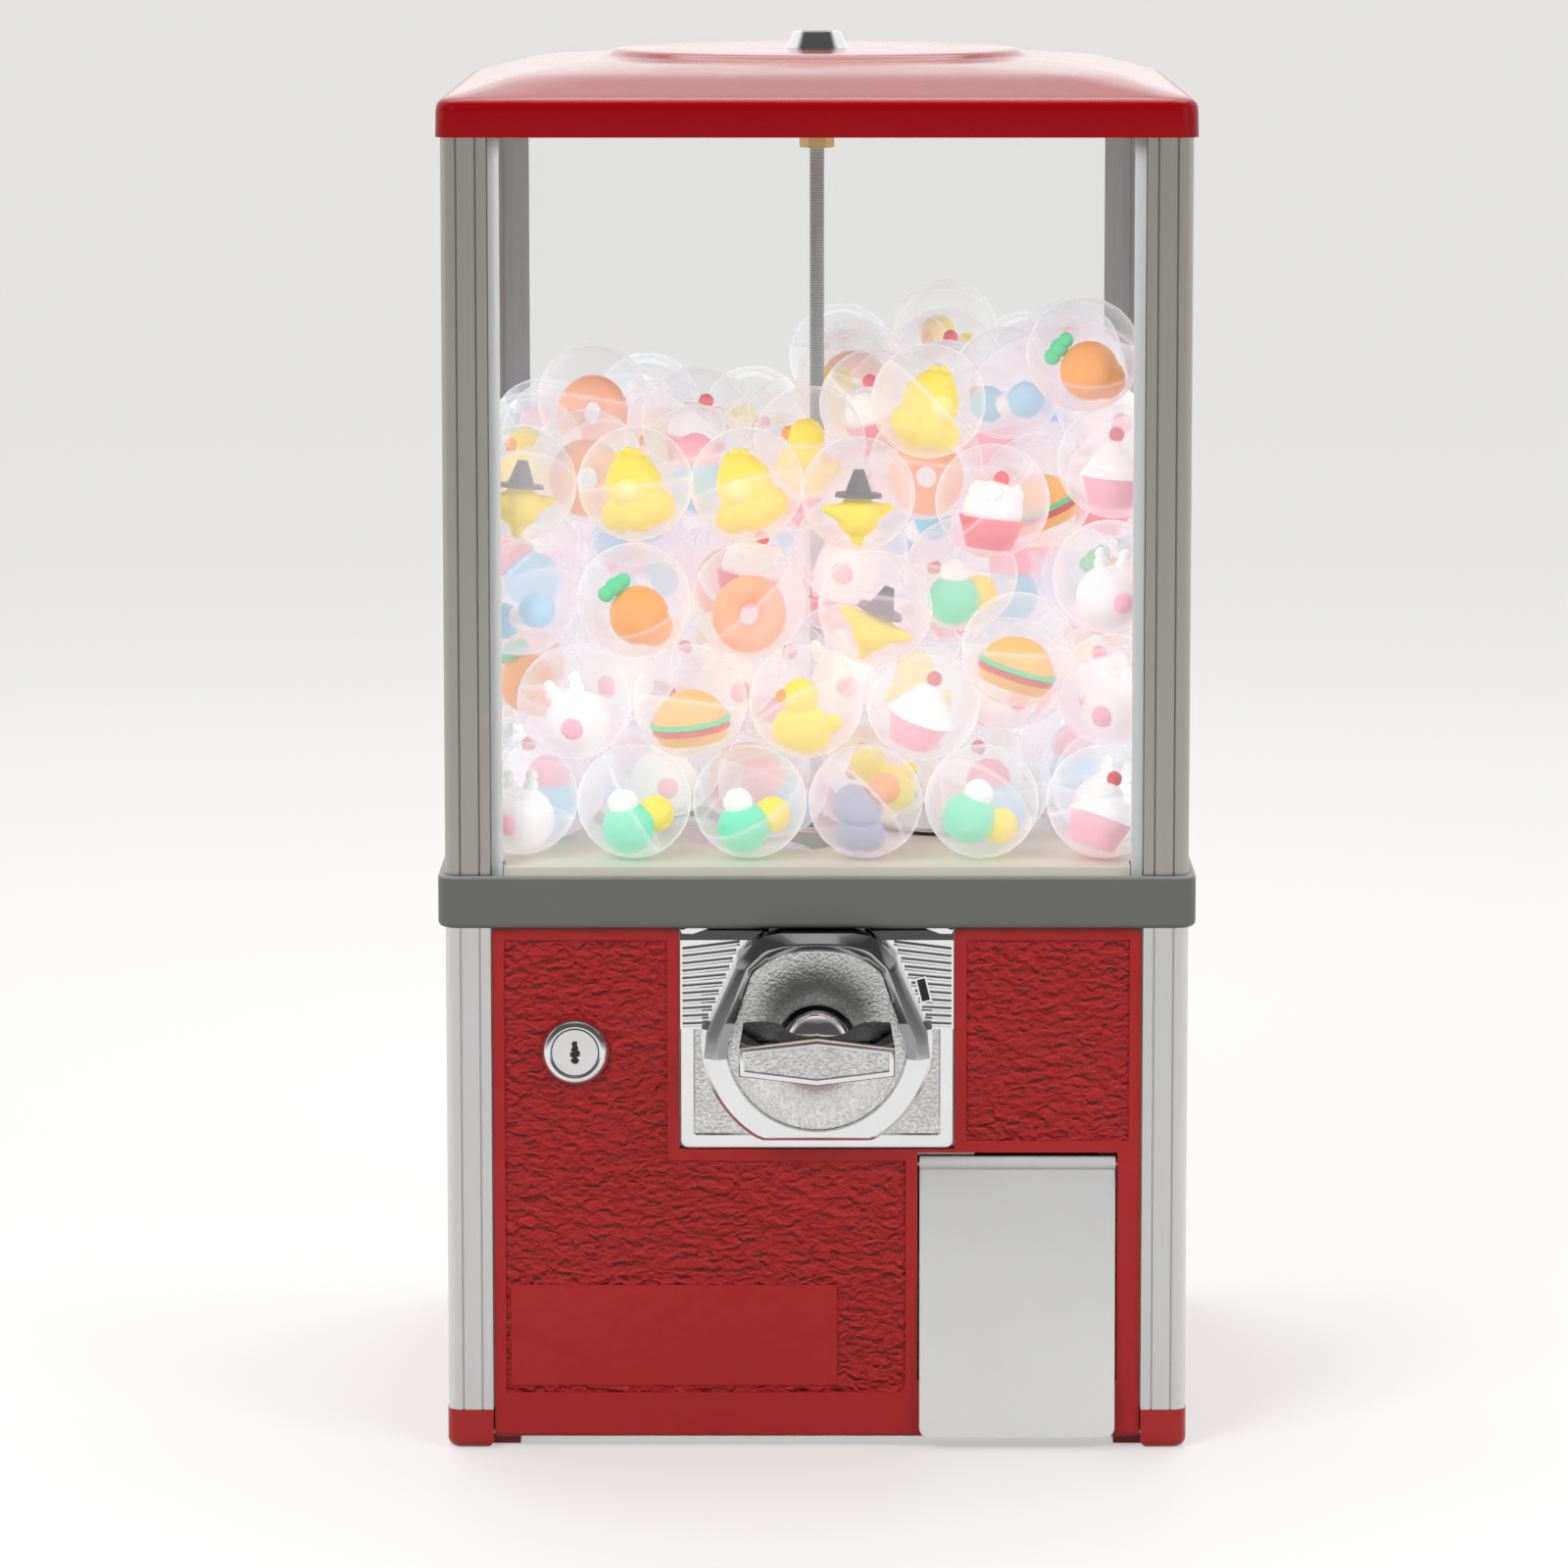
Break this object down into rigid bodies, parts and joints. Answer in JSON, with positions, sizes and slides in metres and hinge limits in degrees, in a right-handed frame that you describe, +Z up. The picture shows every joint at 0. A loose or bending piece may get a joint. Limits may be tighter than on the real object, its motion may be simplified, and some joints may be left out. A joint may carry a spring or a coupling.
{
  "type": "capsule vending machine",
  "caption": "Square counter-top vending machine with a clear bin of toy capsules, a red case, a coin mechanism that turns a pocketed wheel, a chute with a flap, a lock and a lift-off lid.",
  "frame": {"origin": "on the floor, in the middle of the machine's box; the centre rod stands 16 mm behind it", "axes": "+Z up, the front with the handle faces -Y, +X to the right of someone who faces it"},
  "size_m": [0.316, 0.348, 0.5885],
  "materials": {
    "red_paint": "gloss, hammertone on the front panel",
    "lower_aluminium": "brushed along its length",
    "upper_aluminium": "brushed along its length",
    "collar_grey": "satin grey coat",
    "clear_pane": "clear",
    "steel": "zinc plated",
    "sheet_aluminium": "mill finish",
    "cast_chrome": "polished borders, sand-cast fields",
    "cast_zinc": "as cast",
    "brass": "turned",
    "flap_grey": "satin",
    "tray_beige": "satin",
    "wheel_white": "satin",
    "cash_box_black": "satin",
    "capsule_clear": "clear",
    "toy_plastic": "satin, in many colours"
  },
  "bodies": {
    "cabinet": {"panel_right": "red_paint", "panel_rear": "red_paint", "panel_left": "red_paint", "foot_front_left": "red_paint", "foot_front_right": "red_paint", "foot_rear_right": "red_paint", "foot_rear_left": "red_paint", "lower_post_front_left": "lower_aluminium", "lower_post_front_right": "lower_aluminium", "lower_post_rear_right": "lower_aluminium", "lower_post_rear_left": "lower_aluminium", "upper_post_front_left": "upper_aluminium", "upper_post_front_right": "upper_aluminium", "upper_post_rear_right": "upper_aluminium", "upper_post_rear_left": "upper_aluminium", "collar": "collar_grey", "pane_front": "clear_pane", "pane_right": "clear_pane", "pane_rear": "clear_pane", "pane_left": "clear_pane", "base_plate": "steel", "foot_screws": "steel", "post_studs": "steel", "panel_hinge_pins": "steel", "centre_rod": "steel", "rod_fasteners": "steel", "guard_screws": "steel", "mech_bracket": "steel", "mech_fasteners": "steel", "pawl_pin": "steel", "outlet_guard": "sheet_aluminium", "mech_faceplate": "cast_chrome", "mech_body": "cast_zinc", "wheel_bush": "brass", "hopper_tray": "tray_beige", "delivery_chute": "tray_beige", "cash_box": "cash_box_black", "capsule_domes": "capsule_clear", "capsule_cups": "capsule_clear", "capsule_toys": "toy_plastic"},
    "lid": {"lid": "red_paint", "lid_lock_bezel": "cast_chrome", "lid_lock_nut": "steel"},
    "lid_lock": {"lid_lock_barrel": "brass"},
    "front_door": {"front_panel": "red_paint", "lock_body": "cast_chrome", "lock_nut": "steel", "flap_pin": "steel"},
    "panel_lock": {"lock_plug": "cast_chrome", "lock_cam": "steel"},
    "flap": {"flap_door": "flap_grey"},
    "coin_drive": {"turn_handle": "cast_chrome", "coin_carrier": "cast_zinc", "drive_shaft": "steel", "ratchet_wheel": "steel", "drive_pinion": "wheel_white", "pinion_screw": "steel"},
    "wheel": {"dispensing_wheel": "wheel_white", "pocket_capsules": "capsule_clear"},
    "pawl": {"ratchet_pawl": "steel"}
  },
  "joints": [
    {"name": "lid_lift", "type": "slide", "parent": "cabinet", "child": "lid", "axis": [0, 0, 1], "range_m": [0, 0.12]},
    {"name": "lid_lock_turn", "type": "hinge", "parent": "lid", "child": "lid_lock", "pos_m": [0, 0.016, 0.57], "axis": [0, 0, 1], "continuous": true},
    {"name": "door_tilt", "type": "hinge", "parent": "cabinet", "child": "front_door", "pos_m": [0, -0.13515, 0.00685], "axis": [1, 0, 0], "range_deg": [0, 30]},
    {"name": "lock_turn", "type": "hinge", "parent": "front_door", "child": "panel_lock", "pos_m": [-0.101, -0.124, 0.1695], "axis": [0, 1, 0], "range_deg": [0, 90]},
    {"name": "flap_swing", "type": "hinge", "parent": "front_door", "child": "flap", "pos_m": [0.084, -0.1345, 0.1214], "axis": [-1, 0, 0], "range_deg": [0, 80]},
    {"name": "handle_turn", "type": "hinge", "parent": "cabinet", "child": "coin_drive", "pos_m": [0, -0.149, 0.1759], "axis": [0, 1, 0], "continuous": true},
    {"name": "wheel_turn", "type": "hinge", "parent": "cabinet", "child": "wheel", "pos_m": [0, 0.016, 0.22], "axis": [0, 0, 1], "continuous": true},
    {"name": "pawl_lift", "type": "hinge", "parent": "cabinet", "child": "pawl", "pos_m": [-0.027, -0.124, 0.1929], "axis": [0, -1, 0], "range_deg": [0, 8]}
  ],
  "couplings": [
    {"joint": "wheel_turn", "follows": "handle_turn", "ratio": 0.25}
  ]
}
